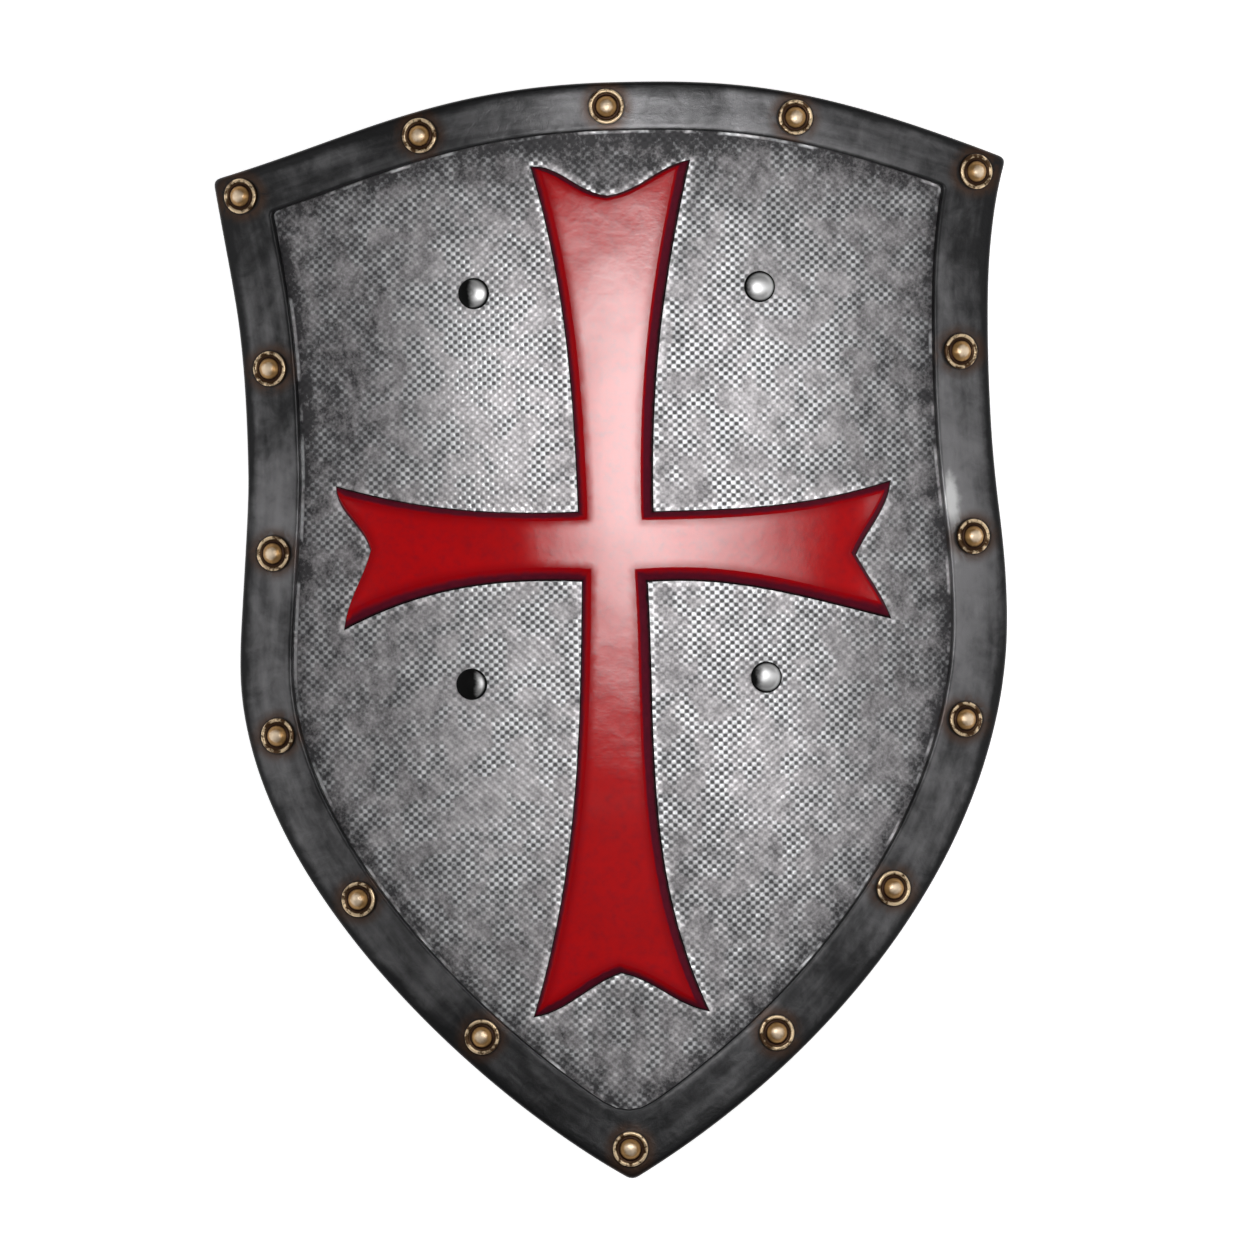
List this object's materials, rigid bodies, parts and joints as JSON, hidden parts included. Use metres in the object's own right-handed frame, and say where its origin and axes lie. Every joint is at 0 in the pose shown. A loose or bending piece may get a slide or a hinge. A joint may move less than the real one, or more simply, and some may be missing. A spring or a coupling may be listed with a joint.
{
  "type": "heater shield",
  "caption": "Curved heater shield of painted foam with a studded rim, a raised flared cross on a woven look field, and two arm straps riveted behind.",
  "frame": {"origin": "under the middle of the shield as it lies face up, on the surface that it lies on", "axes": "+Z out of the front, +Y toward the shield's top edge, +X to the right as seen from the front"},
  "size_m": [0.4334, 0.5988, 0.072],
  "materials": {
    "field_paint": "silver dry brushed over black on a woven texture, black foam behind",
    "rim_paint": "satin gunmetal paint on foam",
    "cross_paint": "semi gloss red paint with dark sprayed edges",
    "stud_paint": "old brass paint with dark grooves",
    "rivet_steel": "polished",
    "strap_leather": "dark brown, worn"
  },
  "bodies": {
    "root": {"board": "field_paint", "rim": "rim_paint", "cross": "cross_paint", "rim_stud_01": "stud_paint", "rim_stud_02": "stud_paint", "rim_stud_03": "stud_paint", "rim_stud_04": "stud_paint", "rim_stud_05": "stud_paint", "rim_stud_06": "stud_paint", "rim_stud_07": "stud_paint", "rim_stud_08": "stud_paint", "rim_stud_09": "stud_paint", "rim_stud_10": "stud_paint", "rim_stud_11": "stud_paint", "rim_stud_12": "stud_paint", "rim_stud_13": "stud_paint", "rim_stud_14": "stud_paint", "rim_stud_15": "stud_paint", "rim_stud_16": "stud_paint", "strap_rivet_upper_left": "rivet_steel", "strap_rivet_upper_right": "rivet_steel", "strap_rivet_lower_left": "rivet_steel", "strap_rivet_lower_right": "rivet_steel", "hand_strap": "strap_leather", "forearm_strap": "strap_leather"}
  },
  "joints": []
}
